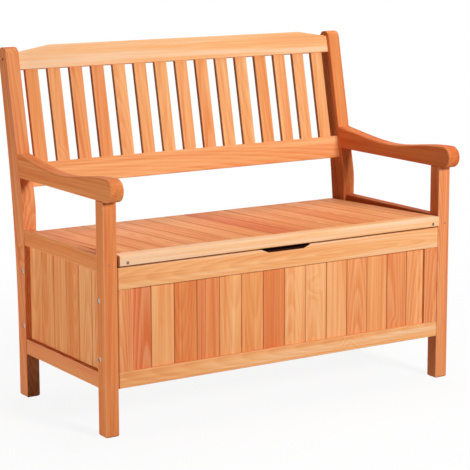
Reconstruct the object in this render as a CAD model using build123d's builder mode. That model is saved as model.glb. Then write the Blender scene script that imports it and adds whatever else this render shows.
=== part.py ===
from build123d import *
import os
from math import cos, radians, sin, tan

# Outdoor storage bench in stained softwood: a panelled box with a hinged seat lid,
# two arms and a reclined slatted back. Millimetres, Z up, the front towards -Y.
# Depths are counted from the front faces of the front legs, heights from the ground.

# Legs
bench_length = 1080.0
leg_thick = 38.0
front_leg_depth = 38.0
leg_span = 441.0
back_foot_depth = 44.0
rear_bend_height = 425.0
rear_bend_round = 3450.0
bend_height = 520.0
bend_round = 160.0
recline = radians(11.63)
post_height = 932.0
post_top_depth = 46.0
post_top_round = 20.0
foot_chamfer = 4.0
edge_round = 2.0

# Arms
arm_underside = 594.0
arm_nose_radius = 29.0
arm_overhang = 42.0
arm_waist_depth = 215.0
arm_waist_height = 38.0
arm_rear_height = 63.0
arm_rear_rise = 0.13
arm_round = 4.0

# Mortise and tenon joints
tenon_thick = 10.0
tenon_length = 22.0
leg_tenon = 20.0
arm_tenon_height = 26.0
arm_tenon_drop = 8.0
joint_clear = 0.2
mortise_end_clear = 1.0

# Side frames
side_rail_thick = 26.0
side_rail_recess = 2.0
side_top_rail_low = 416.0
side_top_rail_height = 42.0
bottom_rail_low = 121.0
bottom_rail_height = 41.0
side_board_thick = 11.0
side_board_pitch = 69.0
rabbet_height = 10.0
leg_groove_depth = 6.0

# Front and back panels
front_frame_thick = 38.0
front_frame_recess = 2.0
front_top_rail_low = 371.5
front_top_rail_height = 55.5
back_frame_thick = 24.0
back_top_rail_low = 371.5
stile_width = 43.0
panel_board_thick = 12.0
panel_board_recess = 8.0
panel_board_pitch = 67.0
panel_groove_depth = 8.0
notch_top_width = 156.0
notch_bottom_width = 110.0
notch_depth = 9.5
notch_round = 10.0

# Tongue and groove boards
joint_gap = 0.4
joint_chamfer = 1.6
tongue_thick = 4.0
tongue_length = 5.0
narrowest_board = 20.0

# Floor
cleat_width = 20.0
cleat_height = 20.0
cleat_end_gap = 2.0
floor_board_width = 66.0
floor_board_gap = 4.0
floor_board_thick = 12.0
floor_end_gap = 1.0

# Backrest
back_rail_width = 63.0
back_rail_thick = 22.0
back_rail_recess = 11.0
lower_rail_drop = 24.8
top_rail_drop = 58.2
shoulder_length = 97.0
shoulder_drop = 16.0
slat_count = 15
slat_width = 38.0
slat_thick = 13.0
slat_end_gap = 20.5
slat_seat_depth = 12.0
back_tenon_thick = 12.0
back_tenon_width = 32.0
back_tenon_rise = 9.0

# Seat lid
lid_top_front = 459.0
lid_slope = radians(2.13)
lid_side_gap = 4.0
lid_board_thick = 12.0
lid_board_pitch = 65.5
lid_first_board = 23.0
lid_rear_reach = 53.0
lid_rail_gap = 1.5
lip_overhang = 8.0
lip_width = 40.0
lip_height = 27.0
lip_ledge = 14.0
lip_top_round = 6.0
lip_low_round = 3.0
end_batten_width = 30.0
end_batten_inset = 6.0
end_batten_rear_gap = 11.0
cross_batten_width = 40.0
rear_batten_gap = 16.0
rest_width = 44.0
rest_height = 20.0
rest_gap = 0.3
rest_end_gap = 3.0

# Hinges
hinge_spread = 345.0
hinge_width = 60.0
knuckle_count = 3
knuckle_radius = 5.0
hinge_pin_radius = 2.5
hinge_pin_clear = 0.05
hinge_pin_head_radius = 3.6
hinge_pin_head = 1.2
knuckle_gap = 0.3
hinge_gap = 0.5
hinge_plate = 2.0
knuckle_relief = 1.0
fixed_leaf_length = 34.0
moving_leaf_length = 52.0
hinge_screw_spacing = 36.0
hinge_screw_inset = 9.0

# Bolts, barrel nuts, screws and pins
bolt_low = 197.0
bolt_high = 345.0
front_bolt_depth = 27.0
bolt_radius = 3.0
bolt_head_radius = 6.0
bolt_head = 2.8
bolt_socket_radius = 2.6
bolt_socket_depth = 1.8
bolt_socket_sides = 6
bolt_sink = 4.0
bolt_reach = 28.0
bolt_clear = 0.2
bolt_head_clear = 0.6
barrel_nut_radius = 5.0
barrel_nut_length = 16.0
barrel_nut_inset = 22.0
barrel_nut_clear = 0.1
screw_head_radius = 3.6
screw_head = 1.8
screw_radius = 1.8
screw_slot_width = 1.0
screw_slot_depth = 0.8
screw_clear = 0.1
hinge_frame_screw_length = 18.0
hinge_lid_screw_length = 9.0
long_screw_length = 66.0
long_screw_sink = 3.0
rail_pin_radius = 2.0
rail_pin_length = 26.0

# Planes and spans that follow from the sizes above
half_length = bench_length / 2
inner_half = half_length - leg_thick
lid_half = inner_half - lid_side_gap
side_rail_face = half_length - side_rail_recess
side_rail_back = side_rail_face - side_rail_thick
side_board_face = side_rail_back + side_board_thick
front_frame_back = front_frame_recess + front_frame_thick
back_frame_back = leg_span + back_frame_thick
bottom_rail_top = bottom_rail_low + bottom_rail_height
stile_inner = inner_half - stile_width
tenon_shoulder = rabbet_height + mortise_end_clear
arm_rear_top = arm_underside + arm_rear_height
lower_rail_low = (arm_underside - bend_height) / cos(recline) - lower_rail_drop
top_rail_low = (post_height - bend_height) / cos(recline) - top_rail_drop
lid_back = leg_span + lid_rear_reach
lid_leaf_under = lid_top_front - back_frame_back * tan(lid_slope) - (lid_board_thick + hinge_plate) / cos(lid_slope)
back_top_rail_top = lid_leaf_under - lid_rail_gap

os.makedirs("parts", exist_ok=True)


def post_front(height):
    """Depth of a back post's front face at a height above the bend."""
    return leg_span + (height - bend_height) * tan(recline)


def back_leg_outline():
    """Side outline of a back leg: depth across, height up."""
    front_bend = (leg_span, bend_height)
    rear_bend = (leg_span + back_foot_depth, rear_bend_height)
    front_top = (post_front(post_height), post_height)
    rear_top = (front_top[0] + post_top_depth, post_height)
    with BuildSketch() as outline:
        with BuildLine():
            Polyline((leg_span, 0), (rear_bend[0], 0), rear_bend, rear_top, front_top, front_bend, close=True)
        make_face()
        fillet(outline.vertices().group_by(Axis.Y)[-1], radius=post_top_round)
        fillet(outline.vertices().sort_by_distance(front_bend)[0], radius=bend_round)
        fillet(outline.vertices().sort_by_distance(rear_bend)[0], radius=rear_bend_round)
    return outline.sketch


post_outline = back_leg_outline()
depth_shift = (arm_overhang - post_outline.bounding_box().max.X) / 2

bench_plane = Plane(origin=(0, depth_shift, 0))
back_plane = Plane(
    origin=bench_plane.from_local_coords((0, leg_span, bend_height)),
    x_dir=(1, 0, 0),
    z_dir=(0, -cos(recline), sin(recline)),
)
lid_plane = Plane(
    origin=bench_plane.from_local_coords((0, 0, lid_top_front)),
    x_dir=(1, 0, 0),
    z_dir=(0, sin(lid_slope), cos(lid_slope)),
)


def side_plane(across, base=bench_plane):
    """Plane for side outlines: depth across, height up, extruding towards +X."""
    return Plane(base.from_local_coords((across, 0, 0)), x_dir=base.y_dir, z_dir=base.x_dir)


def outward_plane(across, depth, height, base=bench_plane):
    """Plane on the left side of the bench that faces outwards, along -X."""
    return Plane(base.from_local_coords((across, depth, height)), x_dir=base.y_dir, z_dir=-base.x_dir)


def block(x_span, y_span, z_span, base=bench_plane, mode=Mode.ADD):
    """Box between spans counted along the three directions of a plane."""
    spans = (x_span, y_span, z_span)
    centre = base.from_local_coords(tuple((low + high) / 2 for low, high in spans))
    with Locations(Plane(centre, x_dir=base.x_dir, z_dir=base.z_dir)):
        Box(*(high - low for low, high in spans), mode=mode)


def grown(span, room):
    """A span made longer by the same room at both ends."""
    return (span[0] - room, span[1] + room)


def left(near, far):
    """Span on the left half of the bench, from its distances to the middle."""
    return (-far, -near)


def board_row(joints, thick, inward):
    """Tongue and groove boards side by side across a sketch, V joints on the face at zero."""
    tongue_low = (thick - tongue_thick) / 2
    tongue_high = tongue_low + tongue_thick
    for start, end in zip(joints, joints[1:]):
        low = start + joint_gap / 2
        high = end - joint_gap / 2
        outline = [(low + joint_chamfer, 0), (high - joint_chamfer, 0), (high, joint_chamfer)]
        if end != joints[-1]:
            tip = high + tongue_length
            outline += [(high, tongue_low), (tip, tongue_low), (tip, tongue_high), (high, tongue_high)]
        outline += [(high, thick), (low, thick)]
        if start != joints[0]:
            bottom = low + tongue_length + joint_gap
            groove_low = tongue_low - joint_clear
            groove_high = tongue_high + joint_clear
            outline += [(low, groove_high), (bottom, groove_high), (bottom, groove_low), (low, groove_low)]
        outline += [(low, joint_chamfer)]
        Polygon(*((across, inward * deep) for across, deep in outline), align=None)


def board_joints(start, end, first, pitch):
    """Joint lines of a row of boards: the two ends, and a line at each pitch after the first."""
    joints = [start]
    line = first
    while line < end - narrowest_board:
        joints.append(line)
        line += pitch
    return joints + [end]


def save(piece, name):
    """Labels a finished piece and writes it."""
    piece.label = name
    export_step(piece, f"parts/{name}.step")


def save_pair(piece, name):
    """Writes a left piece and its mirror image on the right."""
    save(piece, f"left_{name}")
    with BuildPart() as opposite:
        mirror(piece, about=Plane.YZ)
    save(opposite.part, f"right_{name}")


# Shared joint places
side_rails = {
    "side_top_rail": (side_top_rail_low, side_top_rail_low + side_top_rail_height),
    "side_bottom_rail": (bottom_rail_low, bottom_rail_top),
}
side_tenon_x = left(
    side_rail_face - (side_rail_thick + tenon_thick) / 2,
    side_rail_face - (side_rail_thick - tenon_thick) / 2,
)
side_board_x = left(side_rail_back, side_board_face)
side_board_z = (bottom_rail_top - rabbet_height, side_top_rail_low + rabbet_height)
leg_middle = (half_length + inner_half) / 2
leg_tenon_x = left(leg_middle - leg_tenon / 2, leg_middle + leg_tenon / 2)
leg_tenon_y = ((front_leg_depth - leg_tenon) / 2, (front_leg_depth + leg_tenon) / 2)
arm_tenon_x = left(leg_middle - tenon_thick / 2, leg_middle + tenon_thick / 2)
arm_tenon_z = (arm_rear_top - arm_tenon_drop - arm_tenon_height, arm_rear_top - arm_tenon_drop)
arm_tenon_tip = post_front(arm_tenon_z[0]) + tenon_length
back_rail_z = (-back_rail_recess - back_rail_thick, -back_rail_recess)
back_rail_middle = -back_rail_recess - back_rail_thick / 2
back_tenon_z = (back_rail_middle - back_tenon_thick / 2, back_rail_middle + back_tenon_thick / 2)
back_bolt_depth = leg_span + back_frame_thick / 2
bolt_heights = (bolt_low, bolt_high)
front_bolt_planes = [outward_plane(-half_length, front_bolt_depth, z) for z in bolt_heights]
back_bolt_planes = [outward_plane(-half_length, back_bolt_depth, z) for z in bolt_heights]
top_rail_middle = top_rail_low + back_rail_width / 2
post_screw_plane = outward_plane(-half_length, top_rail_middle, back_rail_middle, back_plane)
rail_pin_height = side_top_rail_low + side_top_rail_height / 2
rail_pin_across = (side_tenon_x[0] + side_tenon_x[1]) / 2
rail_pin_plane = Plane(
    bench_plane.from_local_coords((rail_pin_across, 0, rail_pin_height)),
    x_dir=(1, 0, 0),
    z_dir=(0, -1, 0),
)


def back_tenon_y(rail_low):
    """Span of a backrest rail's tenon along the slope of the back."""
    tenon_low = rail_low + back_tenon_rise
    return (tenon_low, tenon_low + back_tenon_width)


def side_mortises(y_span):
    """Cuts the mortises of the two side rails into a leg."""
    for low, high in side_rails.values():
        z_span = (low + tenon_shoulder - joint_clear, high - tenon_shoulder + joint_clear)
        block(grown(side_tenon_x, joint_clear), y_span, z_span, mode=Mode.SUBTRACT)


def bolt_holes(planes):
    """Counterbored through holes for the bolts of a leg."""
    with Locations(*planes):
        CounterBoreHole(
            radius=bolt_radius + bolt_clear,
            counter_bore_radius=bolt_head_radius + bolt_head_clear,
            counter_bore_depth=bolt_sink,
            depth=leg_thick,
        )


# Front legs, with a tenon up into the arm
with BuildPart() as front_leg:
    block(left(inner_half, half_length), (0, front_leg_depth), (0, arm_underside))
    chamfer(front_leg.faces().sort_by(Axis.Z)[0].edges(), length=foot_chamfer)
    fillet(front_leg.edges().filter_by(Axis.Z), radius=edge_round)
    block(leg_tenon_x, leg_tenon_y, (arm_underside, arm_underside + tenon_length))
    side_mortises((front_leg_depth - tenon_length - mortise_end_clear, front_leg_depth))
    block(
        grown(side_board_x, joint_clear),
        (front_leg_depth - leg_groove_depth, front_leg_depth),
        side_board_z,
        mode=Mode.SUBTRACT,
    )
    bolt_holes(front_bolt_planes)
    with Locations(rail_pin_plane):
        Hole(radius=rail_pin_radius + screw_clear, depth=rail_pin_length)
save_pair(front_leg.part, "front_leg")

# Back legs, running up into the reclined posts
with BuildPart() as back_leg:
    with BuildSketch(side_plane(-half_length)):
        add(post_outline)
    extrude(amount=leg_thick)
    chamfer(back_leg.faces().sort_by(Axis.Z)[0].edges(), length=foot_chamfer)
    outline_edges = back_leg.faces().filter_by(Axis.X).edges()
    fillet(outline_edges.filter_by(lambda edge: edge.center().Z > foot_chamfer), radius=edge_round)
    side_mortises((leg_span, leg_span + tenon_length + mortise_end_clear))
    block(
        grown(side_board_x, joint_clear),
        (leg_span, leg_span + leg_groove_depth),
        side_board_z,
        mode=Mode.SUBTRACT,
    )
    block(
        grown(arm_tenon_x, joint_clear),
        (leg_span, arm_tenon_tip + mortise_end_clear),
        grown(arm_tenon_z, joint_clear),
        mode=Mode.SUBTRACT,
    )
    for rail_low in (lower_rail_low, top_rail_low):
        block(
            left(inner_half, inner_half + tenon_length + mortise_end_clear),
            grown(back_tenon_y(rail_low), joint_clear),
            grown(back_tenon_z, joint_clear),
            base=back_plane,
            mode=Mode.SUBTRACT,
        )
    bolt_holes(back_bolt_planes)
    with Locations(post_screw_plane):
        CounterBoreHole(
            radius=screw_radius + bolt_clear,
            counter_bore_radius=screw_head_radius + bolt_head_clear,
            counter_bore_depth=long_screw_sink,
            depth=leg_thick,
        )
save_pair(back_leg.part, "back_leg")

# Arms: flat below, a waist and a crest on top, a round nose over the front leg
nose_centre = (arm_nose_radius - arm_overhang, arm_underside + arm_nose_radius)
with BuildPart() as arm:
    with BuildSketch(side_plane(-half_length)):
        with BuildLine():
            nose = CenterArc(nose_centre, arm_nose_radius, 90, 180)
            top = Spline(
                nose @ 0,
                (arm_waist_depth, arm_underside + arm_waist_height),
                (post_front(arm_rear_top), arm_rear_top),
                tangents=((1, 0), (1, arm_rear_rise)),
            )
            Polyline(top @ 1, (post_front(arm_underside), arm_underside), nose @ 1)
        make_face()
    extrude(amount=leg_thick)
    long_edges = arm.faces().filter_by(Axis.X).edges()
    rear_depth = bench_plane.from_local_coords((0, leg_span, 0)).Y
    fillet(long_edges.filter_by(lambda edge: edge.center().Y < rear_depth), radius=arm_round)
    block(
        grown(leg_tenon_x, joint_clear),
        grown(leg_tenon_y, joint_clear),
        (arm_underside, arm_underside + tenon_length + mortise_end_clear),
        mode=Mode.SUBTRACT,
    )
    block(arm_tenon_x, (leg_span, arm_tenon_tip), arm_tenon_z)
save_pair(arm.part, "arm")

# Side rails, tenoned into the legs and rabbeted behind for the boards
for rail_name, rail_z in side_rails.items():
    board_end = side_board_z[1] if rail_name == "side_top_rail" else side_board_z[0]
    rabbet_edge = rail_z[0] if rail_name == "side_top_rail" else rail_z[1]
    with BuildPart() as side_rail:
        block(left(side_rail_back, side_rail_face), (front_leg_depth, leg_span), rail_z)
        fillet(side_rail.edges().filter_by(Axis.Y), radius=edge_round)
        block(
            side_tenon_x,
            (front_leg_depth - tenon_length, leg_span + tenon_length),
            grown(rail_z, -tenon_shoulder),
        )
        block(
            left(side_rail_back - edge_round, side_board_face + joint_clear),
            (front_leg_depth, leg_span),
            sorted((board_end, rabbet_edge)),
            mode=Mode.SUBTRACT,
        )
        if rail_name == "side_top_rail":
            with Locations(rail_pin_plane):
                Hole(radius=rail_pin_radius + screw_clear, depth=rail_pin_length)
    save_pair(side_rail.part, rail_name)

# Side boards, upright, ripped to fit at the front leg
side_row_front = front_leg_depth - leg_groove_depth + joint_clear
side_row_back = leg_span + leg_groove_depth - joint_clear
full_boards = int((leg_span - front_leg_depth - narrowest_board) / side_board_pitch)
with BuildPart() as side_boards:
    face_origin = bench_plane.from_local_coords((-side_board_face, 0, side_board_z[0]))
    with BuildSketch(Plane(face_origin, x_dir=(0, 1, 0), z_dir=(0, 0, 1))):
        first_joint = leg_span - full_boards * side_board_pitch
        board_row(
            board_joints(side_row_front, side_row_back, first_joint, side_board_pitch), side_board_thick, -1
        )
    extrude(amount=side_board_z[1] - side_board_z[0] - mortise_end_clear)
save_pair(side_boards.part, "side_boards")

# Front and back panels: a grooved frame round upright boards, faced outwards
panels = (
    (
        "front",
        (front_frame_recess, front_frame_back),
        (front_top_rail_low, front_top_rail_low + front_top_rail_height),
        front_frame_recess + panel_board_recess,
        1,
        front_bolt_depth,
    ),
    (
        "back",
        (leg_span, back_frame_back),
        (back_top_rail_low, back_top_rail_top),
        back_frame_back - (back_frame_thick - panel_board_thick) / 2,
        -1,
        back_bolt_depth,
    ),
)
rail_x = (-inner_half, inner_half)
stile_x = left(stile_inner, inner_half)
row_half = stile_inner + panel_groove_depth - joint_clear
centre_joints = int((stile_inner - narrowest_board) / panel_board_pitch)
panel_joints = board_joints(-row_half, row_half, -centre_joints * panel_board_pitch, panel_board_pitch)

# Hinge places, shared by the back panel's top rail, the lid and the leaves
hinge_places = (-hinge_spread, hinge_spread)
hinge_screw_places = [
    place + step for place in hinge_places for step in (-hinge_screw_spacing / 2, hinge_screw_spacing / 2)
]
hinge_offset = knuckle_radius + hinge_gap
pin_depth = back_frame_back + hinge_offset
pin_drop = lid_board_thick + hinge_offset
pin_along_lid = (pin_depth + pin_drop * sin(lid_slope)) / cos(lid_slope)
pin_height = lid_top_front - pin_along_lid * sin(lid_slope) - pin_drop * cos(lid_slope)
leaf_top = pin_height - knuckle_radius - knuckle_relief
leaf_screw_height = leaf_top - fixed_leaf_length + hinge_screw_inset
frame_screw_planes = [
    Plane(
        bench_plane.from_local_coords((place, back_frame_back + hinge_plate, leaf_screw_height)),
        x_dir=(1, 0, 0),
        z_dir=(0, 1, 0),
    )
    for place in hinge_screw_places
]

for panel, frame_y, top_rail_z, board_face, inward, bolt_depth in panels:
    board_y = sorted((board_face, board_face + inward * panel_board_thick))
    groove_y = grown(board_y, joint_clear)
    groove_z = (bottom_rail_top - panel_groove_depth, top_rail_z[0] + panel_groove_depth)

    with BuildPart() as top_rail:
        block(rail_x, frame_y, top_rail_z)
        fillet(top_rail.edges().filter_by(Axis.X), radius=edge_round)
        block(rail_x, groove_y, (top_rail_z[0], groove_z[1]), mode=Mode.SUBTRACT)
        if panel == "front":
            rail_edge = bench_plane.from_local_coords((0, frame_y[0], top_rail_z[1]))
            with BuildSketch(Plane(rail_edge, x_dir=(1, 0, 0), z_dir=(0, -1, 0))) as notch:
                with BuildLine():
                    Polyline(
                        (-notch_top_width / 2, 0),
                        (-notch_bottom_width / 2, -notch_depth),
                        (notch_bottom_width / 2, -notch_depth),
                        (notch_top_width / 2, 0),
                        close=True,
                    )
                make_face()
                fillet(notch.vertices().group_by(Axis.Y)[0], radius=notch_round)
            extrude(amount=-front_frame_thick, mode=Mode.SUBTRACT)
        else:
            with Locations(*frame_screw_planes):
                Hole(radius=screw_radius + screw_clear, depth=hinge_frame_screw_length)
    save(top_rail.part, f"{panel}_top_rail")

    with BuildPart() as bottom_rail:
        block(rail_x, frame_y, (bottom_rail_low, bottom_rail_top))
        fillet(bottom_rail.edges().filter_by(Axis.X), radius=edge_round)
        block(rail_x, groove_y, (groove_z[0], bottom_rail_top), mode=Mode.SUBTRACT)
    save(bottom_rail.part, f"{panel}_bottom_rail")

    nut_face = frame_y[1] if inward > 0 else frame_y[0]
    with BuildPart() as stile:
        block(stile_x, frame_y, (bottom_rail_top, top_rail_z[0]))
        fillet(stile.edges().filter_by(Axis.Z), radius=edge_round)
        block(stile_x, board_y, (groove_z[0], groove_z[1] - mortise_end_clear))
        block(left(stile_inner, stile_inner + panel_groove_depth), groove_y, groove_z, mode=Mode.SUBTRACT)
        for height in bolt_heights:
            with Locations(outward_plane(-inner_half, bolt_depth, height)):
                Hole(radius=bolt_radius + bolt_clear, depth=bolt_reach + mortise_end_clear)
            nut_mouth = bench_plane.from_local_coords((barrel_nut_inset - inner_half, nut_face, height))
            with Locations(Plane(nut_mouth, x_dir=(1, 0, 0), z_dir=(0, inward, 0))):
                Hole(
                    radius=barrel_nut_radius + barrel_nut_clear,
                    depth=abs(nut_face - bolt_depth) + barrel_nut_length / 2,
                )
    save_pair(stile.part, f"{panel}_stile")

    with BuildPart() as boards:
        with BuildSketch(Plane(bench_plane.from_local_coords((0, board_face, groove_z[0])))):
            board_row(panel_joints, panel_board_thick, inward)
        extrude(amount=groove_z[1] - groove_z[0] - mortise_end_clear)
    save(boards.part, f"{panel}_boards")

# Floor: boards from front to back on two cleats
cleat_x = grown(rail_x, -cleat_end_gap)
cleat_z = (bottom_rail_low, bottom_rail_low + cleat_height)
for cleat_name, cleat_y in (
    ("floor_front_cleat", (front_frame_back, front_frame_back + cleat_width)),
    ("floor_back_cleat", (leg_span - cleat_width, leg_span)),
):
    with BuildPart() as cleat:
        block(cleat_x, cleat_y, cleat_z)
    save(cleat.part, cleat_name)

floor_pitch = floor_board_width + floor_board_gap
floor_count = int((2 * inner_half + floor_board_gap) / floor_pitch)
with BuildPart() as floor_boards:
    for index in range(floor_count):
        middle = (index - (floor_count - 1) / 2) * floor_pitch
        block(
            (middle - floor_board_width / 2, middle + floor_board_width / 2),
            (front_frame_back + floor_end_gap, leg_span - floor_end_gap),
            (cleat_z[1], cleat_z[1] + floor_board_thick),
        )
save(floor_boards.part, "floor_boards")

# Backrest: two rails tenoned into the posts, slats seated in slots between them
first_slat = slat_end_gap - inner_half
slat_pitch = (-2 * first_slat - slat_width) / (slat_count - 1)
slat_starts = [first_slat + index * slat_pitch for index in range(slat_count)]
slat_z = (back_rail_middle - slat_thick / 2, back_rail_middle + slat_thick / 2)
slat_y = (lower_rail_low + back_rail_width - slat_seat_depth, top_rail_low + slat_seat_depth)
slope_axis = Axis(back_plane.origin, back_plane.y_dir)

for rail_name, rail_low in (("backrest_lower_rail", lower_rail_low), ("backrest_top_rail", top_rail_low)):
    rail_top = rail_low + back_rail_width
    shoulder = shoulder_drop if rail_name == "backrest_top_rail" else 0
    with BuildPart() as back_rail:
        with BuildSketch(back_plane.offset(back_rail_z[0])):
            with BuildLine():
                outline = [(-inner_half, rail_low), (inner_half, rail_low), (inner_half, rail_top - shoulder)]
                if shoulder:
                    outline += [(inner_half - shoulder_length, rail_top), (shoulder_length - inner_half, rail_top)]
                Polyline(*outline, (-inner_half, rail_top - shoulder), close=True)
            make_face()
        extrude(amount=back_rail_thick)
        long_edges = back_rail.faces().filter_by(Axis(back_plane.origin, back_plane.z_dir)).edges()
        fillet(long_edges.filter_by(slope_axis, reverse=True), radius=edge_round)
        tenon_x = grown(rail_x, tenon_length)
        block(tenon_x, back_tenon_y(rail_low), back_tenon_z, base=back_plane)
        for start in slat_starts:
            block(
                grown((start, start + slat_width), joint_clear),
                grown(slat_y, joint_clear),
                grown(slat_z, joint_clear),
                base=back_plane,
                mode=Mode.SUBTRACT,
            )
        if shoulder:
            for across, facing in ((-inner_half - tenon_length, -1), (inner_half + tenon_length, 1)):
                mouth = back_plane.from_local_coords((across, top_rail_middle, back_rail_middle))
                with Locations(Plane(mouth, x_dir=back_plane.y_dir, z_dir=(facing, 0, 0))):
                    Hole(radius=screw_radius + screw_clear, depth=long_screw_length)
    save(back_rail.part, rail_name)

for number, start in enumerate(slat_starts, 1):
    with BuildPart() as slat:
        block((start, start + slat_width), slat_y, slat_z, base=back_plane)
        fillet(slat.edges().filter_by(slope_axis), radius=edge_round)
    save(slat.part, f"back_slat_{number:02d}")

# Lid rests: cleats inside the side frames, under the lid's end battens
batten_z = (-lip_height, -lid_board_thick)
with BuildPart() as lid_rest:
    block(
        left(side_rail_back - rest_width, side_rail_back),
        (front_frame_back + rest_end_gap, leg_span - rest_end_gap),
        (batten_z[0] - rest_gap - rest_height, batten_z[0] - rest_gap),
        base=lid_plane,
    )
save_pair(lid_rest.part, "lid_rest")

# Lid: a lip with a ledge along the front, boards behind it on battens
lip_front = -lip_overhang
lip_back = lip_front + lip_width
ledge_back = lip_back + lip_ledge
end_batten_x = left(
    lid_half - end_batten_inset - end_batten_width,
    lid_half - end_batten_inset,
)
lip_screw_across = (end_batten_x[0] + end_batten_x[1]) / 2
lip_screw_planes = [
    Plane(
        lid_plane.from_local_coords((across, lip_front + long_screw_sink, sum(batten_z) / 2)),
        x_dir=lid_plane.x_dir,
        z_dir=-lid_plane.y_dir,
    )
    for across in (lip_screw_across, -lip_screw_across)
]
with BuildPart() as lid_lip:
    with BuildSketch(side_plane(-lid_half, lid_plane)) as lip_section:
        with BuildLine():
            Polyline(
                (lip_front, 0),
                (lip_back, 0),
                (lip_back, -lid_board_thick),
                (ledge_back, -lid_board_thick),
                (ledge_back, -lip_height),
                (lip_front, -lip_height),
                close=True,
            )
        make_face()
        fillet(lip_section.vertices().sort_by_distance((lip_front, 0))[0], radius=lip_top_round)
        fillet(lip_section.vertices().sort_by_distance((lip_front, -lip_height))[0], radius=lip_low_round)
    extrude(amount=2 * lid_half)
    with Locations(*(plane.offset(long_screw_sink) for plane in lip_screw_planes)):
        CounterBoreHole(
            radius=screw_radius + screw_clear,
            counter_bore_radius=screw_head_radius + bolt_head_clear,
            counter_bore_depth=long_screw_sink,
            depth=lip_width + lip_ledge,
        )
save(lid_lip.part, "lid_lip")

with BuildPart() as lid_boards:
    rear_edge = lid_plane.from_local_coords((0, lid_back, 0))
    with BuildSketch(Plane(rear_edge, x_dir=lid_plane.x_dir, z_dir=-lid_plane.y_dir)):
        lid_joints = board_joints(-lid_half, lid_half, lid_first_board - lid_half, lid_board_pitch)
        board_row(lid_joints, lid_board_thick, -1)
    extrude(amount=lid_back - lip_back)
    lid_screw_planes = [
        Plane(
            lid_plane.from_local_coords(
                (place, pin_along_lid - moving_leaf_length + hinge_screw_inset, -lid_board_thick - hinge_plate)
            ),
            x_dir=lid_plane.x_dir,
            z_dir=-lid_plane.z_dir,
        )
        for place in hinge_screw_places
    ]
    with Locations(*lid_screw_planes):
        Hole(radius=screw_radius + screw_clear, depth=hinge_lid_screw_length)
save(lid_boards.part, "lid_boards")

with BuildPart() as end_batten:
    block(end_batten_x, (ledge_back, leg_span - end_batten_rear_gap), batten_z, base=lid_plane)
    with Locations(lip_screw_planes[0]):
        Hole(radius=screw_radius + screw_clear, depth=long_screw_length)
save_pair(end_batten.part, "lid_end_batten")

rear_batten_depth = pin_along_lid - moving_leaf_length - rear_batten_gap - cross_batten_width
for batten_name, batten_depth in (
    ("lid_middle_batten", (ledge_back + rear_batten_depth - cross_batten_width) / 2),
    ("lid_rear_batten", rear_batten_depth),
):
    with BuildPart() as cross_batten:
        block(
            (end_batten_x[1], -end_batten_x[1]),
            (batten_depth, batten_depth + cross_batten_width),
            batten_z,
            base=lid_plane,
        )
    save(cross_batten.part, batten_name)

# Hinges: the fixed leaf carries the outer knuckles, the moving leaf the middle one
knuckle_length = hinge_width / knuckle_count
pin_centre = bench_plane.from_local_coords((0, pin_depth, pin_height))


def knuckle(x_span, mode=Mode.ADD, radius=knuckle_radius):
    """Cylinder about the hinge pin's axis over a span of the bench's length."""
    with Locations(Plane((x_span[0], pin_centre.Y, pin_centre.Z), x_dir=(0, 1, 0), z_dir=(1, 0, 0))):
        Cylinder(radius, x_span[1] - x_span[0], align=(Align.CENTER, Align.CENTER, Align.MIN), mode=mode)


with BuildPart() as fixed_leaves:
    plate_y = (back_frame_back, back_frame_back + hinge_plate)
    for place in hinge_places:
        edges_x = (place - hinge_width / 2, place + hinge_width / 2)
        block(edges_x, plate_y, (leaf_top - fixed_leaf_length, leaf_top))
        for outer_x in (
            (edges_x[0], edges_x[0] + knuckle_length - knuckle_gap),
            (edges_x[1] - knuckle_length + knuckle_gap, edges_x[1]),
        ):
            block(outer_x, plate_y, (leaf_top, pin_height))
            knuckle(outer_x)
        knuckle(edges_x, Mode.SUBTRACT, hinge_pin_radius + hinge_pin_clear)
    with Locations(*frame_screw_planes):
        Hole(radius=screw_radius + screw_clear, depth=hinge_plate)
save(fixed_leaves.part, "hinge_fixed_leaves")

with BuildPart() as moving_leaves:
    plate_z = (-lid_board_thick - hinge_plate, -lid_board_thick)
    plate_back = pin_along_lid - knuckle_radius - knuckle_relief
    for place in hinge_places:
        edges_x = (place - hinge_width / 2, place + hinge_width / 2)
        middle_x = (place - knuckle_length / 2, place + knuckle_length / 2)
        block(edges_x, (pin_along_lid - moving_leaf_length, plate_back), plate_z, base=lid_plane)
        block(middle_x, (plate_back, pin_along_lid), plate_z, base=lid_plane)
        knuckle(middle_x)
        knuckle(middle_x, Mode.SUBTRACT, hinge_pin_radius + hinge_pin_clear)
    with Locations(*lid_screw_planes):
        Hole(radius=screw_radius + screw_clear, depth=hinge_plate)
save(moving_leaves.part, "hinge_moving_leaves")

with BuildPart() as hinge_pins:
    for place in hinge_places:
        edges_x = (place - hinge_width / 2, place + hinge_width / 2)
        knuckle(edges_x, radius=hinge_pin_radius)
        knuckle((edges_x[0] - hinge_pin_head, edges_x[0]), radius=hinge_pin_head_radius)
        knuckle((edges_x[1], edges_x[1] + hinge_pin_head), radius=hinge_pin_head_radius)
save(hinge_pins.part, "hinge_pins")


def headed_pin(seat, head_radius, head, radius, length):
    """Head and shank of a bolt or screw, its head's underside on a seat plane that faces outwards."""
    with Locations(seat):
        Cylinder(head_radius, head, align=(Align.CENTER, Align.CENTER, Align.MIN))
        Cylinder(radius, length, align=(Align.CENTER, Align.CENTER, Align.MAX))


def screw(seat, length):
    """A slotted screw with its head on a seat plane."""
    headed_pin(seat, screw_head_radius, screw_head, screw_radius, length)
    with Locations(seat.offset(screw_head - screw_slot_depth / 2)):
        Box(2 * screw_head_radius, screw_slot_width, screw_slot_depth, mode=Mode.SUBTRACT)


with BuildPart() as hinge_frame_screws:
    for seat in frame_screw_planes:
        screw(seat, hinge_frame_screw_length)
save(hinge_frame_screws.part, "hinge_frame_screws")

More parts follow.
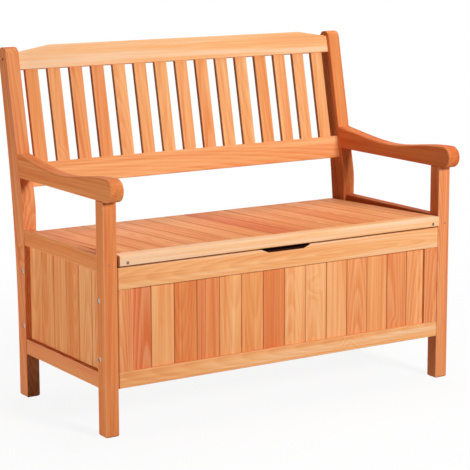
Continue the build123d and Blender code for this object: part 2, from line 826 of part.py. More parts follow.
with BuildPart() as hinge_lid_screws:
    for seat in lid_screw_planes:
        screw(seat, hinge_lid_screw_length)
save(hinge_lid_screws.part, "hinge_lid_screws")

with BuildPart() as lip_screws:
    for seat in lip_screw_planes:
        screw(seat, long_screw_length)
save(lip_screws.part, "lip_screws")

with BuildPart() as post_screws:
    screw(post_screw_plane.offset(-long_screw_sink), long_screw_length)
    mirror(about=Plane.YZ)
save(post_screws.part, "post_screws")

# Leg bolts with a hexagon socket, and the barrel nuts in the stiles
with BuildPart() as leg_bolts:
    for plane in front_bolt_planes + back_bolt_planes:
        seat = plane.offset(-bolt_sink)
        headed_pin(seat, bolt_head_radius, bolt_head, bolt_radius, leg_thick - bolt_sink + bolt_reach)
        with BuildSketch(seat.offset(bolt_head)):
            RegularPolygon(bolt_socket_radius, bolt_socket_sides)
        extrude(amount=-bolt_socket_depth, mode=Mode.SUBTRACT)
    mirror(about=Plane.YZ)
save(leg_bolts.part, "leg_bolts")

with BuildPart() as barrel_nuts:
    for bolt_depth in (front_bolt_depth, back_bolt_depth):
        for height in bolt_heights:
            centre = bench_plane.from_local_coords((barrel_nut_inset - inner_half, bolt_depth, height))
            with Locations(Plane(centre, x_dir=(1, 0, 0), z_dir=(0, 1, 0))):
                Cylinder(barrel_nut_radius, barrel_nut_length)
                Cylinder(
                    bolt_radius + bolt_clear,
                    2 * barrel_nut_radius,
                    rotation=(0, 90, 0),
                    mode=Mode.SUBTRACT,
                )
    mirror(about=Plane.YZ)
save(barrel_nuts.part, "barrel_nuts")

# Pins through the front legs into the side top rails
with BuildPart() as rail_pins:
    with Locations(rail_pin_plane):
        Cylinder(rail_pin_radius, rail_pin_length, align=(Align.CENTER, Align.CENTER, Align.MAX))
    mirror(about=Plane.YZ)
save(rail_pins.part, "rail_pins")
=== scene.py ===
from math import cos, radians, sin

import bmesh
import bpy
from mathutils import Matrix, Vector


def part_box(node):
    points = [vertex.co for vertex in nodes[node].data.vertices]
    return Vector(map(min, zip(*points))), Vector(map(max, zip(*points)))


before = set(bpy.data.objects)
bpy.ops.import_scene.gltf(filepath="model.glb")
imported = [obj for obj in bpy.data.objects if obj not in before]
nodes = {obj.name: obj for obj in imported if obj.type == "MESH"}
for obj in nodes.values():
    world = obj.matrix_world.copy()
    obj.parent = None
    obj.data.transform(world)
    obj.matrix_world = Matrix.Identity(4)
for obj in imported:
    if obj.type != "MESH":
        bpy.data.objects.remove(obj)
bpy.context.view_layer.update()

# Sizes of the bench that the timber follows, in metres
RECLINE = radians(11.63)
LID_SLOPE = radians(2.13)
PANEL_PITCH = 0.067
LID_PITCH = 0.0655
LID_FIRST_JOINT = -0.475
SIDE_PITCH = 0.069
FLOOR_PITCH = 0.070

# Sections, across the grain, of the pieces with square edges
LEG = (0.038, 0.038)
SIDE_TOP_RAIL = (0.026, 0.042)
SIDE_BOTTOM_RAIL = (0.026, 0.041)
FRONT_TOP_RAIL = (0.0555, 0.038)
FRONT_BOTTOM_RAIL = (0.041, 0.038)
FRONT_STILE = (0.043, 0.038)
BACK_TOP_RAIL = (0.0547, 0.024)
BACK_BOTTOM_RAIL = (0.041, 0.024)
BACK_STILE = (0.043, 0.024)
CLEAT = (0.020, 0.020)
SLAT = (0.038, 0.013)
SHAPED = (2.0, 2.0)  # no square edges: wide enough that no face counts as an edge

# Turns that lay a piece's grain along Z
UPRIGHT = (0.0, 0.0, 0.0)
ACROSS = (0.0, radians(-90), 0.0)
DEPTHWISE = (radians(90), 0.0, 0.0)
LIDWISE = (radians(90) + LID_SLOPE, 0.0, 0.0)
SLATWISE = (RECLINE, 0.0, 0.0)
SIDE_ROW = (0.0, 0.0, radians(-90))

# Fir: where the heart of the trunk lies from a board, how it slants, and how far apart the rings are
HEART_ACROSS = (-0.035, 0.035)
HEART_DEEP = (0.03, 0.10)
HEART_SLANT = (-0.07, 0.07)
RING_SPACING = (0.0035, 0.0075)
RING_WANDER = (-0.007, 0.007)
LATE_WOOD_START = 0.05
LATE_WOOD_PEAK = 0.82

# Waves of the figure per metre, across, through and along the grain
WANDER_WAVES = (9.0, 9.0, 1.3)
FINE_STREAKS = (150.0, 150.0, 2.4)
BROAD_STREAKS = (34.0, 34.0, 1.3)
FIBRES = (620.0, 620.0, 11.0)
FINE_STREAK_SHARE = 0.45
BROAD_STREAK_SHARE = 0.55

# Knots: cells per metre, share of the cells without one, radii in shares of a cell, bend of the rings in metres
KNOT_CELLS = (12.0, 12.0, 9.0)
KNOT_FREE = 0.86
KNOT_REACH = (0.42, 0.05)
KNOT_RIM = (0.12, 0.07)
KNOT_BEND = 0.012

# Stain from the palest board to the reddest, each with its place between tone 0 and tone 1
BLEACHED = (0.86, 0.56, 0.35, 1.0)
PALE = (0.86, 0.44, 0.185, 1.0)
PALE_TONE = 0.2
HONEY = (0.77, 0.285, 0.092, 1.0)
HONEY_TONE = 0.55
RUSSET = (0.66, 0.155, 0.045, 1.0)
TONE_SHARE = 0.8
STREAK_TONE = (-0.75, 1.15)

# What rings, fibres, knots, rubbed edges, joints and end grain make of the stain, and how strongly, with a
# painted highlight on the edges and painted shade in the finger notch
DARK_RINGS = (0.86, 0.68, 0.54, 1.0)
DARK_RING_DEPTH = 0.40
PALE_RINGS = (0.93, 0.56, 0.30, 1.0)
PALE_RING_DEPTH = 0.26
FIBRE_SHADE = (0.88, 0.76, 0.66, 1.0)
FIBRE_DEPTH = 0.3
KNOT_BROWN = (0.34, 0.10, 0.035, 1.0)
KNOT_DEPTH = 0.75
# Paler edges: stain rubbed thin, and a painted highlight
WORN_AND_HIGHLIGHT = (0.93, 0.60, 0.34, 1.0)
WORN_AND_HIGHLIGHT_DEPTH = (0.05, 0.3)
JOINT_STAIN = (0.38, 0.080, 0.020, 1.0)
JOINT_DEPTH = 0.6
# Painted shade for the floor of the finger notch, under the lip
PAINTED_NOTCH_SHADE = (0.060, 0.018, 0.010, 1.0)
END_GRAIN_SHADE = (0.93, 0.86, 0.80, 1.0)

# Distances over which an edge or a joint fades in, in metres
EDGE_FADE = (0.0042, 0.0012)
BOARD_JOINT_FADE = (0.0024, 0.0006)
BOARD_JOINT_DEPTH = (0.40, 1.0)
LEG_JOINT_FADE = (0.0056, 0.0030)
LEG_JOINT_DEPTH = 1.5
NOTCH_START = 0.0004
NOTCH_FADE = 0.0008

# Sheen and relief of the timber
TIMBER_ROUGH = (0.66, 0.80)
END_GRAIN_ROUGH = 0.18
TIMBER_SPECULAR = 0.12
RELIEF_STRENGTH = 0.35
RELIEF_DEPTH = 0.0006

FIGURE = ("Late Wood", "Pale Rings", "Fibre", "Streak", "Knot")


def grey(level):
    """A plain grey colour."""
    return (level, level, level, 1.0)


def place(tree, kind, links=None, values=None, **settings):
    """Adds a shader node, with its settings, plain socket values and links."""
    made = tree.nodes.new(kind)
    for key, value in settings.items():
        setattr(made, key, value)
    for socket, value in (values or {}).items():
        made.inputs[socket].default_value = value
    for socket, source in (links or {}).items():
        tree.links.new(source, made.inputs[socket])
    return made


def reckon(tree, operation, *terms):
    """A Math node on sockets or plain numbers."""
    made = tree.nodes.new("ShaderNodeMath")
    made.operation = operation
    for index, term in enumerate(terms):
        if isinstance(term, (int, float)):
            made.inputs[index].default_value = term
        else:
            tree.links.new(term, made.inputs[index])
    return made.outputs[0]


def spread(tree, share, low, high):
    """A share from 0 to 1 spread between two plain numbers."""
    return reckon(tree, "MULTIPLY_ADD", share, high - low, low)


def step(tree, value, start, end, low=0.0, high=1.0):
    """A smooth step between two values."""
    made = place(
        tree,
        "ShaderNodeMapRange",
        {"Value": value},
        {"From Min": start, "From Max": end, "To Min": low, "To Max": high},
        interpolation_type="SMOOTHSTEP",
    )
    return made.outputs["Result"]


def split(tree, vector):
    """The three parts of a vector."""
    return place(tree, "ShaderNodeSeparateXYZ", {"Vector": vector}).outputs


def stretch(tree, vector, scale):
    """A vector times a plain scale per axis."""
    made = place(tree, "ShaderNodeVectorMath", {0: vector}, {1: scale}, operation="MULTIPLY")
    return made.outputs["Vector"]


def turned(tree, vector, turn):
    """A vector turned by plain angles."""
    made = place(
        tree,
        "ShaderNodeVectorRotate",
        {"Vector": vector},
        {"Rotation": turn},
        rotation_type="EULER_XYZ",
    )
    return made.outputs["Vector"]


def coordinates(tree, kind):
    """The piece's own coordinates or normals."""
    return tree.nodes.new("ShaderNodeTexCoord").outputs[kind]


def blend_colours(tree, factor, first, second, kind="MIX"):
    """Mixes two colours, each a socket or a plain colour, by a factor socket."""
    made = place(tree, "ShaderNodeMix", {0: factor}, data_type="RGBA", blend_type=kind)
    for index, colour in ((6, first), (7, second)):
        if isinstance(colour, tuple):
            made.inputs[index].default_value = colour
        else:
            tree.links.new(colour, made.inputs[index])
    return made.outputs[2]


def new_group(name, inputs, outputs):
    """An empty shader node group with named sockets."""
    tree = bpy.data.node_groups.new(name, "ShaderNodeTree")
    for label, kind in inputs:
        tree.interface.new_socket(label, in_out="INPUT", socket_type=kind)
    for label, kind in outputs:
        tree.interface.new_socket(label, in_out="OUTPUT", socket_type=kind)
    return tree, tree.nodes.new("NodeGroupInput").outputs, tree.nodes.new("NodeGroupOutput").inputs


def make_fir_figure():
    """Growth rings, fibres, streaks and knots of a fir board that lies along Z."""
    tree, given, shown = new_group(
        "fir_figure",
        [("Along Grain", "NodeSocketVector"), ("Seed", "NodeSocketFloat")],
        [(label, "NodeSocketFloat") for label in FIGURE],
    )
    along, seed = given["Along Grain"], given["Seed"]

    def noise(waves, detail):
        made = place(
            tree,
            "ShaderNodeTexNoise",
            {"Vector": stretch(tree, along, waves), "W": seed},
            {"Scale": 1.0, "Detail": detail},
            noise_dimensions="4D",
        )
        return made.outputs["Fac"]

    # Each board is sawn at its own place and slant in the trunk
    chance = place(tree, "ShaderNodeTexWhiteNoise", {"W": seed}, noise_dimensions="1D").outputs["Color"]
    chances = place(tree, "ShaderNodeSeparateColor", {"Color": chance}).outputs
    spot = split(tree, along)
    slant = spread(tree, chances[2], *HEART_SLANT)
    across = reckon(tree, "SUBTRACT", spot[0], spread(tree, chances[0], *HEART_ACROSS))
    deep = reckon(tree, "ADD", spot[1], spread(tree, chances[1], *HEART_DEEP))
    deep = reckon(tree, "MULTIPLY_ADD", spot[2], slant, deep)
    squares = (reckon(tree, "MULTIPLY", part, part) for part in (across, deep))
    radius = reckon(tree, "SQRT", reckon(tree, "ADD", *squares))

    # Small knots, far apart, that the rings flow round
    cells = place(
        tree,
        "ShaderNodeTexVoronoi",
        {"Vector": stretch(tree, along, KNOT_CELLS), "W": seed},
        {"Scale": 1.0},
        voronoi_dimensions="4D",
    ).outputs
    lot = place(tree, "ShaderNodeSeparateColor", {"Color": cells["Color"]}).outputs[0]
    has_knot = reckon(tree, "GREATER_THAN", lot, KNOT_FREE)
    near_knot = reckon(tree, "MULTIPLY", step(tree, cells["Distance"], *KNOT_REACH), has_knot)
    knot = reckon(tree, "MULTIPLY", step(tree, cells["Distance"], *KNOT_RIM), has_knot)

    # Rings, each darkening slowly to its late wood and ending sharply
    wander = spread(tree, noise(WANDER_WAVES, 2.0), *RING_WANDER)
    flow = reckon(tree, "MULTIPLY_ADD", near_knot, KNOT_BEND, wander)
    spacing = spread(tree, chances[0], *RING_SPACING)
    ring = reckon(tree, "FRACT", reckon(tree, "DIVIDE", reckon(tree, "ADD", radius, flow), spacing))
    rise = step(tree, ring, LATE_WOOD_START, LATE_WOOD_PEAK)
    late_wood = reckon(tree, "MULTIPLY", rise, step(tree, ring, 1.0, LATE_WOOD_PEAK))

    streak = reckon(tree, "MULTIPLY", noise(FINE_STREAKS, 3.0), FINE_STREAK_SHARE)
    streak = reckon(tree, "MULTIPLY_ADD", noise(BROAD_STREAKS, 3.0), BROAD_STREAK_SHARE, streak)
    pale_rings = step(tree, chances[2], 0.35, 0.65)
    fibre = noise(FIBRES, 2.0)
    for label, source in zip(FIGURE, (late_wood, pale_rings, fibre, streak, knot)):
        tree.links.new(source, shown[label])
    return tree


def make_stained_timber(fir_figure):
    """Colour, roughness and relief of stained, satin fir."""
    tree, given, shown = new_group(
        "stained_timber",
        [
            ("Along Grain", "NodeSocketVector"),
            ("Half Size", "NodeSocketVector"),
            ("Seed", "NodeSocketFloat"),
            ("Tone", "NodeSocketFloat"),
            ("Joint", "NodeSocketFloat"),
            ("Painted Shade", "NodeSocketFloat"),
            ("End Grain", "NodeSocketFloat"),
        ],
        [("Colour", "NodeSocketColor"), ("Roughness", "NodeSocketFloat"), ("Height", "NodeSocketFloat")],
    )
    figure = place(
        tree,
        "ShaderNodeGroup",
        {label: given[label] for label in ("Along Grain", "Seed")},
        node_tree=fir_figure,
    )
    late_wood, pale_rings, fibre, streak, knot = (figure.outputs[label] for label in FIGURE)

    # Stain takes unevenly along the streaks
    tone = reckon(tree, "MULTIPLY", given["Tone"], TONE_SHARE)
    tone = reckon(tree, "ADD", tone, spread(tree, streak, *STREAK_TONE))
    stain = place(tree, "ShaderNodeValToRGB", {"Fac": tone})
    ramp = stain.color_ramp
    ramp.elements[0].color = BLEACHED
    ramp.elements[1].color = RUSSET
    ramp.elements.new(PALE_TONE).color = PALE
    ramp.elements.new(HONEY_TONE).color = HONEY
    pale_line = reckon(tree, "MULTIPLY", late_wood, pale_rings)
    dark_line = reckon(tree, "SUBTRACT", late_wood, pale_line)

    # Stain is rubbed thin along the edges, which also carry a painted highlight
    offset = place(tree, "ShaderNodeVectorMath", {0: given["Along Grain"]}, operation="ABSOLUTE")
    inset = place(
        tree,
        "ShaderNodeVectorMath",
        {0: given["Half Size"], 1: offset.outputs["Vector"]},
        operation="SUBTRACT",
    )
    insets = split(tree, inset.outputs["Vector"])
    edge = step(tree, reckon(tree, "MAXIMUM", insets[0], insets[1]), *EDGE_FADE)
    worn_and_highlight = reckon(tree, "MULTIPLY", edge, step(tree, streak, 0.35, 0.65, *WORN_AND_HIGHLIGHT_DEPTH))

    # It lies thick in the board joints and in the open pores of end grain; the same joint tint draws the darker
    # line along the left leg, and the finger notch gets painted shade
    layers = [
        (reckon(tree, "MULTIPLY", dark_line, DARK_RING_DEPTH), DARK_RINGS, "MULTIPLY"),
        (reckon(tree, "MULTIPLY", pale_line, PALE_RING_DEPTH), PALE_RINGS, "MIX"),
        (step(tree, fibre, 0.42, 0.72, 0.0, FIBRE_DEPTH), FIBRE_SHADE, "MULTIPLY"),
        (reckon(tree, "MULTIPLY", knot, KNOT_DEPTH), KNOT_BROWN, "MIX"),
        # paler edges: rubbed stain and a painted highlight
        (worn_and_highlight, WORN_AND_HIGHLIGHT, "MIX"),
        (reckon(tree, "MULTIPLY", given["Joint"], JOINT_DEPTH), JOINT_STAIN, "MIX"),
        # painted shade in the finger notch
        (given["Painted Shade"], PAINTED_NOTCH_SHADE, "MIX"),
        (given["End Grain"], END_GRAIN_SHADE, "MULTIPLY"),
    ]
    colour = stain.outputs["Color"]
    for mask, tint, kind in layers:
        colour = blend_colours(tree, mask, colour, tint, kind)

    rough = spread(tree, fibre, *TIMBER_ROUGH)
    rough = reckon(tree, "ADD", rough, reckon(tree, "MULTIPLY", given["End Grain"], END_GRAIN_ROUGH))
    height = reckon(tree, "MULTIPLY_ADD", late_wood, 0.5, reckon(tree, "MULTIPLY", fibre, 0.5))
    tree.links.new(colour, shown["Colour"])
    tree.links.new(rough, shown["Roughness"])
    tree.links.new(height, shown["Height"])
    return tree


def make_board_row():
    """Which board of a row a point lies on, its place across that board, and how near the joint is."""
    tree, given, shown = new_group(
        "board_row",
        [("Row", "NodeSocketVector"), ("First Joint", "NodeSocketFloat"), ("Pitch", "NodeSocketFloat")],
        [("Along Grain", "NodeSocketVector"), ("Board", "NodeSocketFloat"), ("Joint", "NodeSocketFloat")],
    )
    pitch = given["Pitch"]
    spot = split(tree, given["Row"])
    run = reckon(tree, "SUBTRACT", spot[0], given["First Joint"])
    pitches = reckon(tree, "DIVIDE", run, pitch)
    board = reckon(tree, "FLOOR", pitches)
    middle = reckon(tree, "MULTIPLY", reckon(tree, "ADD", board, 0.5), pitch)
    across = reckon(tree, "SUBTRACT", run, middle)
    local = place(tree, "ShaderNodeCombineXYZ", {"X": across, "Y": spot[1], "Z": spot[2]})

    # Each joint holds its own depth of stain
    half_pitch = reckon(tree, "MULTIPLY", pitch, 0.5)
    to_joint = reckon(tree, "SUBTRACT", half_pitch, reckon(tree, "ABSOLUTE", across))
    number = reckon(tree, "ROUND", pitches)
    chance = place(tree, "ShaderNodeTexWhiteNoise", {"W": number}, noise_dimensions="1D").outputs["Value"]
    depth = spread(tree, chance, *BOARD_JOINT_DEPTH)
    joint = reckon(tree, "MULTIPLY", step(tree, to_joint, *BOARD_JOINT_FADE), depth)
    tree.links.new(local.outputs["Vector"], shown["Along Grain"])
    tree.links.new(board, shown["Board"])
    tree.links.new(joint, shown["Joint"])
    return tree


fir_figure = make_fir_figure()
stained_timber = make_stained_timber(fir_figure)
board_row = make_board_row()


def new_material(name):
    """An empty material with its Principled shader."""
    material = bpy.data.materials.new(name)
    material.use_nodes = True
    tree = material.node_tree
    return material, tree, tree.nodes["Principled BSDF"]


def end_grain(tree, turn):
    """Mask of the faces across the grain, from the piece's own normals."""
    along = split(tree, turned(tree, coordinates(tree, "Normal"), turn))[2]
    return step(tree, reckon(tree, "ABSOLUTE", along), 0.75, 0.97)


def notch_shade_mask(tree, height):
    """Mask of the sawn faces that look up from below a height, for painted shade in the finger notch."""
    facing = split(tree, coordinates(tree, "Normal"))[2]
    level = split(tree, coordinates(tree, "Object"))[2]
    below = step(tree, level, height, height - NOTCH_FADE)
    return reckon(tree, "MULTIPLY", step(tree, facing, 0.3, 0.6), below)


def leg_joint(tree, leg_face):
    """Mask of a darker line along the left leg."""
    across = split(tree, coordinates(tree, "Object"))[0]
    return step(tree, reckon(tree, "SUBTRACT", across, leg_face), *LEG_JOINT_FADE, 0.0, LEG_JOINT_DEPTH)


def grain_frame(tree, centre, turn):
    """Object coordinates counted from a centre and turned so that the grain runs along Z."""
    spot = coordinates(tree, "Object")
    moved = place(tree, "ShaderNodeVectorMath", {0: spot}, {1: centre}, operation="SUBTRACT")
    return turned(tree, moved.outputs["Vector"], turn)


def finish_timber(tree, shader, timber):
    """Wires a timber group's colour, roughness and relief to the shader."""
    tree.links.new(timber.outputs["Colour"], shader.inputs["Base Color"])
    tree.links.new(timber.outputs["Roughness"], shader.inputs["Roughness"])
    relief = place(
        tree,
        "ShaderNodeBump",
        {"Height": timber.outputs["Height"]},
        {"Strength": RELIEF_STRENGTH, "Distance": RELIEF_DEPTH},
    )
    tree.links.new(relief.outputs["Normal"], shader.inputs["Normal"])
    shader.inputs["Specular IOR Level"].default_value = TIMBER_SPECULAR


def dress(node, material):
    """Gives a node its material."""
    mesh = nodes[node].data
    mesh.materials.clear()
    mesh.materials.append(material)


def timber_piece(node, turn, seed, tone, section, drift):
    """Stained timber on a single piece; drift is its change of tone per metre of grain."""
    low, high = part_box(node)
    material, tree, shader = new_material("timber_" + node)
    along = grain_frame(tree, (low + high) / 2, turn)
    timber = place(
        tree,
        "ShaderNodeGroup",
        {"Along Grain": along, "End Grain": end_grain(tree, turn)},
        {"Half Size": (section[0] / 2, section[1] / 2, 1.0), "Seed": seed, "Tone": tone},
        node_tree=stained_timber,
    )
    if drift:
        drifting = reckon(tree, "MULTIPLY_ADD", split(tree, along)[2], drift, tone)
        tree.links.new(drifting, timber.inputs["Tone"])
    finish_timber(tree, shader, timber)
    dress(node, material)
    return tree, timber


def timber_row(node, turn, seed, first_joint, pitch, first_board, tones):
    """Stained timber on a row of boards; tones goes from one end of the row to the other."""
    low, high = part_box(node)
    centre = (low + high) / 2
    centre[1 if turn == SIDE_ROW else 0] = 0.0  # a row is counted from the middle of the bench
    material, tree, shader = new_material("timber_" + node)
    row = place(
        tree,
        "ShaderNodeGroup",
        {"Row": grain_frame(tree, centre, turn)},
        {"First Joint": first_joint, "Pitch": pitch},
        node_tree=board_row,
    ).outputs

    count = len(tones)
    place_in_row = reckon(tree, "DIVIDE", reckon(tree, "ADD", row["Board"], 0.5 - first_board), float(count))
    shades = place(tree, "ShaderNodeValToRGB", {"Fac": place_in_row})
    ramp = shades.color_ramp
    ramp.interpolation = "CONSTANT"
    ramp.elements.remove(ramp.elements[1])
    ramp.elements[0].position = 0.0
    ramp.elements[0].color = grey(tones[0])
    for index, tone in enumerate(tones[1:], 1):
        ramp.elements.new(index / count).color = grey(tone)

    timber = place(
        tree,
        "ShaderNodeGroup",
        {
            "Along Grain": row["Along Grain"],
            "Joint": row["Joint"],
            "Seed": reckon(tree, "ADD", row["Board"], seed),
            "Tone": shades.outputs["Color"],
            "End Grain": end_grain(tree, turn),
        },
        {"Half Size": (1.0, 1.0, 1.0)},
        node_tree=stained_timber,
    )
    finish_timber(tree, shader, timber)
    dress(node, material)


# Single pieces: node, turn, tone, section across the grain
single_pieces = [
    ("left_front_leg", UPRIGHT, 0.62, LEG),
    ("right_front_leg", UPRIGHT, 0.82, LEG),
    ("left_back_leg", SLATWISE, 0.72, SHAPED),
    ("right_back_leg", SLATWISE, 0.74, SHAPED),
    ("left_arm", DEPTHWISE, 0.58, SHAPED),
    # The right arm's redder tone is painted shade for its inner face, which lies in shade
    ("right_arm", DEPTHWISE, 0.86, SHAPED),
    ("left_side_top_rail", DEPTHWISE, 0.56, SIDE_TOP_RAIL),
    ("right_side_top_rail", DEPTHWISE, 1.05, SIDE_TOP_RAIL),
    ("left_side_bottom_rail", DEPTHWISE, 0.80, SIDE_BOTTOM_RAIL),
    ("right_side_bottom_rail", DEPTHWISE, 0.45, SIDE_BOTTOM_RAIL),
    ("front_top_rail", ACROSS, -0.06, FRONT_TOP_RAIL),
    ("front_bottom_rail", ACROSS, 0.14, FRONT_BOTTOM_RAIL),
    ("left_front_stile", UPRIGHT, 0.60, FRONT_STILE),
    ("right_front_stile", UPRIGHT, 0.66, FRONT_STILE),
    ("back_top_rail", ACROSS, 0.30, BACK_TOP_RAIL),
    ("back_bottom_rail", ACROSS, 0.40, BACK_BOTTOM_RAIL),
    ("left_back_stile", UPRIGHT, 0.45, BACK_STILE),
    ("right_back_stile", UPRIGHT, 0.35, BACK_STILE),
    ("floor_front_cleat", ACROSS, 0.40, CLEAT),
    ("floor_back_cleat", ACROSS, 0.35, CLEAT),
    ("backrest_top_rail", ACROSS, -0.14, SHAPED),
    ("backrest_lower_rail", ACROSS, 0.36, SHAPED),
    ("left_lid_rest", LIDWISE, 0.45, SHAPED),
    ("right_lid_rest", LIDWISE, 0.45, SHAPED),
    ("lid_lip", ACROSS, -0.14, SHAPED),
    ("left_lid_end_batten", LIDWISE, 0.35, SHAPED),
    ("right_lid_end_batten", LIDWISE, 0.30, SHAPED),
    ("lid_middle_batten", ACROSS, 0.30, SHAPED),
    ("lid_rear_batten", ACROSS, 0.38, SHAPED),
]
slat_tones = (0.42, 0.26, 0.54, 0.60, 0.19, 0.30, 0.09, 0.40, 0.47, 0.11, 0.11, 0.26, 0.26, 0.19, 0.20)
for number, tone in enumerate(slat_tones, 1):
    single_pieces.append((f"back_slat_{number:02d}", SLATWISE, tone, SLAT))
# Change of tone per metre, upwards on the leg and to the right on the others; on the right back leg this is
# painted shade, darker towards the bottom under the arm
drifts = {"right_back_leg": -0.7, "backrest_top_rail": 0.22, "lid_lip": 0.16}
# Pieces that are sawn from another part of the trunk for a straighter figure
other_cuts = {"left_front_stile": 4.1, "right_front_stile": 6.7}
SEED_STEP = 17.3
timbers = {}
for number, (node, turn, tone, section) in enumerate(single_pieces, 1):
    seed = SEED_STEP * number + other_cuts.get(node, 0.0)
    timbers[node] = timber_piece(node, turn, seed, tone, section, drifts.get(node, 0.0))

# Darker line along the left leg, and painted shade in the finger notch
leg_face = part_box("left_front_leg")[1].x
for node in ("front_top_rail", "front_bottom_rail", "left_front_stile"):
    tree, timber = timbers[node]
    tree.links.new(leg_joint(tree, leg_face), timber.inputs["Joint"])
# The upward faces of the finger notch get painted shade
notch_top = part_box("front_top_rail")[1].z - NOTCH_START
tree, timber = timbers["front_top_rail"]
tree.links.new(notch_shade_mask(tree, notch_top), timber.inputs["Painted Shade"])

# Rows of tongue and groove boards: node, turn, seed, first joint, pitch, number of the first board, tones
front_tones = (0.5, 1.12, 0.20, 0.62, 0.66, 0.16, 0.28, 0.80, 0.20, 0.18, 0.28, 0.54, 0.24, 0.70, 0.38, 0.5)
lid_tones = (0.50, 0.48, 0.44, 0.42, 0.50, 0.42, 0.36, 0.40, 0.88, 0.66, 0.50, 0.46, 0.54, 0.48, 0.46, 0.48)
side_tones = (0.40, 0.36, 0.38, 0.48, 0.34, 0.36, 0.30, 0.3)
back_tones = (0.4, 0.30, 0.55, 0.42, 0.20, 0.62, 0.35, 0.28, 0.5, 0.22, 0.66, 0.38, 0.30, 0.52, 0.26, 0.4)
floor_tones = (0.35, 0.50, 0.28, 0.44, 0.60, 0.30, 0.40, 0.52, 0.26, 0.46, 0.34, 0.58, 0.30, 0.42)
back_leg_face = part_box("left_back_leg")[0].y
board_rows = [
    ("front_boards", UPRIGHT, 211.0, 0.0, PANEL_PITCH, -8, front_tones),
    ("back_boards", UPRIGHT, 331.0, 0.0, PANEL_PITCH, -8, back_tones),
    ("lid_boards", LIDWISE, 431.0, LID_FIRST_JOINT, LID_PITCH, -1, lid_tones),
    ("floor_boards", DEPTHWISE, 541.0, 0.0, FLOOR_PITCH, -7, floor_tones),
    ("left_side_boards", SIDE_ROW, 641.0, back_leg_face, SIDE_PITCH, -7, side_tones),
    ("right_side_boards", SIDE_ROW, 743.0, back_leg_face, SIDE_PITCH, -7, side_tones),
]
for boards in board_rows:
    timber_row(*boards)


# Zinc: blotches and scratches per metre, how far blotches dull it, and depth of the scratches
BLOTCHES = 260.0
SCRATCHES = (3000.0, 300.0, 900.0)
DULLED = 0.72
BLOTCH_ROUGH = 0.2
SCRATCH_STRENGTH = 0.2
SCRATCH_DEPTH = 0.0001


def plated_steel(name, colour, rough):
    """Zinc plated steel with faint blotches and fine scratches."""
    material, tree, shader = new_material(name)
    spot = coordinates(tree, "Object")
    blotch = place(
        tree,
        "ShaderNodeTexNoise",
        {"Vector": spot},
        {"Scale": BLOTCHES, "Detail": 3.0},
    ).outputs["Fac"]
    scratch = place(
        tree,
        "ShaderNodeTexNoise",
        {"Vector": stretch(tree, spot, SCRATCHES)},
        {"Scale": 1.0, "Detail": 2.0},
    ).outputs["Fac"]
    dull = tuple(channel * DULLED for channel in colour[:3]) + (1.0,)
    blotched = blend_colours(tree, step(tree, blotch, 0.4, 0.7), colour, dull)
    roughness = reckon(tree, "MULTIPLY_ADD", blotch, BLOTCH_ROUGH, rough)
    relief = place(
        tree,
        "ShaderNodeBump",
        {"Height": scratch},
        {"Strength": SCRATCH_STRENGTH, "Distance": SCRATCH_DEPTH},
    )
    tree.links.new(blotched, shader.inputs["Base Color"])
    tree.links.new(roughness, shader.inputs["Roughness"])
    tree.links.new(relief.outputs["Normal"], shader.inputs["Normal"])
    shader.inputs["Metallic"].default_value = 1.0
    return material


# Material, colour, roughness and the nodes that have it
hinge_nodes = (
    "hinge_fixed_leaves",
    "hinge_moving_leaves",
    "hinge_pins",
    "hinge_frame_screws",
    "hinge_lid_screws",
)
metals = [
    ("bright_zinc", (0.66, 0.66, 0.64, 1.0), 0.20, ("leg_bolts", "barrel_nuts")),
    ("dull_zinc", (0.20, 0.165, 0.14, 1.0), 0.40, ("lip_screws", "post_screws", "rail_pins")),
    ("hinge_zinc", (0.42, 0.41, 0.38, 1.0), 0.30, hinge_nodes),
]
for name, colour, rough, metal_nodes in metals:
    zinc = plated_steel(name, colour, rough)
    for node in metal_nodes:
        dress(node, zinc)


# Floor: half its width, greys for light and for sight, and where the sight of it fades to white
FLOOR_REACH = 40.0
FLOOR_PAINT = 0.45
FLOOR_CHALK = 0.90
FADE_START = 0.6
FADE_END = 2.2
FADE_SHARE = 0.90
WORLD_COLOUR = (1.0, 0.80, 0.62, 1.0)
WORLD_LEVEL = 0.015
WHITE = {"Color": (1.0, 1.0, 1.0, 1.0), "Strength": 1.0}


def seen(tree):
    """Mask of the rays that see a surface straight, in a mirror or through glass."""
    path = tree.nodes.new("ShaderNodeLightPath").outputs
    straight = reckon(tree, "MAXIMUM", path["Is Camera Ray"], path["Is Glossy Ray"])
    return reckon(tree, "MAXIMUM", straight, path["Is Transmission Ray"])


def blend_shaders(tree, factor, first, second):
    """Mixes two shaders by a factor socket."""
    return place(tree, "ShaderNodeMixShader", {0: factor, 1: first.outputs[0], 2: second.outputs[0]})


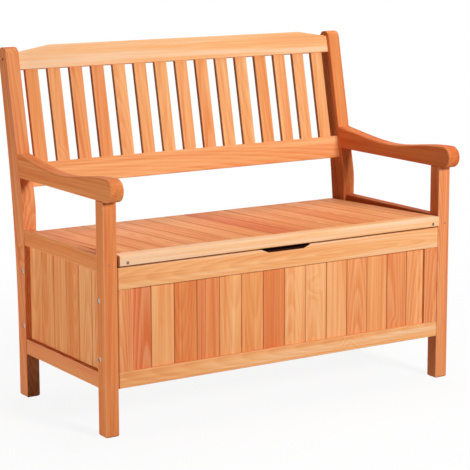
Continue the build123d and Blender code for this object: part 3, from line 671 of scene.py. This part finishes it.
def lay_floor():
    """A plain floor that looks white and keeps a faint shadow of the bench."""
    sheet = bmesh.new()
    bmesh.ops.create_grid(sheet, x_segments=1, y_segments=1, size=FLOOR_REACH)
    mesh = bpy.data.meshes.new("floor")
    sheet.to_mesh(mesh)
    sheet.free()
    floor = bpy.data.objects.new("floor", mesh)
    bpy.context.scene.collection.objects.link(floor)
    material = bpy.data.materials.new("pale_floor")
    material.use_nodes = True
    tree = material.node_tree
    tree.nodes.clear()
    paint = place(tree, "ShaderNodeBsdfDiffuse", values={"Color": grey(FLOOR_PAINT)})
    chalk = place(tree, "ShaderNodeBsdfDiffuse", values={"Color": grey(FLOOR_CHALK)})
    white = place(tree, "ShaderNodeEmission", values=WHITE)
    spot = coordinates(tree, "Object")
    away = place(tree, "ShaderNodeVectorMath", {0: spot}, operation="LENGTH").outputs["Value"]
    fade = step(tree, away, FADE_START, FADE_END, FADE_SHARE, 1.0)
    shown = blend_shaders(tree, fade, chalk, white)
    both = blend_shaders(tree, seen(tree), paint, shown)
    out = tree.nodes.new("ShaderNodeOutputMaterial")
    tree.links.new(both.outputs[0], out.inputs["Surface"])
    mesh.materials.append(material)


def light_world():
    """A faint warm light from all round, and plain white behind the bench."""
    world = bpy.data.worlds.new("studio")
    bpy.context.scene.world = world
    world.use_nodes = True
    tree = world.node_tree
    tree.nodes.clear()
    warm = place(tree, "ShaderNodeBackground", values={"Color": WORLD_COLOUR, "Strength": WORLD_LEVEL})
    white = place(tree, "ShaderNodeBackground", values=WHITE)
    both = blend_shaders(tree, seen(tree), warm, white)
    out = tree.nodes.new("ShaderNodeOutputWorld")
    tree.links.new(both.outputs[0], out.inputs["Surface"])


def soft_box(name, spot, aim, size, power):
    """A square lamp that faces a point."""
    lamp = bpy.data.lights.new(name, "AREA")
    lamp.size = size
    lamp.energy = power
    holder = bpy.data.objects.new(name, lamp)
    holder.location = spot
    holder.rotation_euler = (Vector(aim) - Vector(spot)).to_track_quat("-Z", "Y").to_euler()
    holder.visible_camera = False
    bpy.context.scene.collection.objects.link(holder)


lay_floor()
light_world()
# Lamps: name, place, the point that it faces, size, power
seat_middle = (0.0, 0.0, 0.45)
seat_rear = (0.0, 0.1, 0.45)
left_side = (-0.54, 0.0, 0.40)
lamps = [
    ("key", (0.75, -3.8, 2.1), seat_middle, 0.9, 157.0),
    ("top", (0.5, 0.4, 3.0), seat_rear, 2.2, 46.0),
    ("left_fill", (-2.2, 0.04, 0.18), left_side, 0.34, 18.2),
    ("back_fill", (1.5, 3.6, 1.8), seat_middle, 2.0, 46.0),
]
for lamp in lamps:
    soft_box(*lamp)

# Camera of the photograph: a long lens from the front left, slightly above the seat
AZIMUTH = radians(-32.5627)
ELEVATION = radians(10.2317)
ROLL = radians(-0.1421)
DISTANCE = 4.8328
TARGET_DEPTH = 0.25
TARGET_HEIGHT = 0.4602
SENSOR_WIDTH = 36.0
LENS_LENGTH = 136.666
LENS_SHIFT = -0.0319
front_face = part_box("left_front_leg")[0].y
target = Vector((0.0, front_face + TARGET_DEPTH, TARGET_HEIGHT))
back = Vector((sin(AZIMUTH) * cos(ELEVATION), -cos(AZIMUTH) * cos(ELEVATION), sin(ELEVATION)))
right = Vector((cos(AZIMUTH), sin(AZIMUTH), 0.0))
up = back.cross(right)
rolled_right = right * cos(ROLL) + up * sin(ROLL)
rolled_up = up * cos(ROLL) - right * sin(ROLL)
lens = bpy.data.cameras.new("camera")
lens.sensor_width = SENSOR_WIDTH
lens.lens = LENS_LENGTH
lens.shift_y = LENS_SHIFT
camera = bpy.data.objects.new("camera", lens)
axes = Matrix((rolled_right, rolled_up, back)).transposed().to_4x4()
camera.matrix_world = Matrix.Translation(target + back * DISTANCE) @ axes
bpy.context.scene.collection.objects.link(camera)
bpy.context.scene.camera = camera
bpy.context.scene.view_settings.view_transform = "Standard"
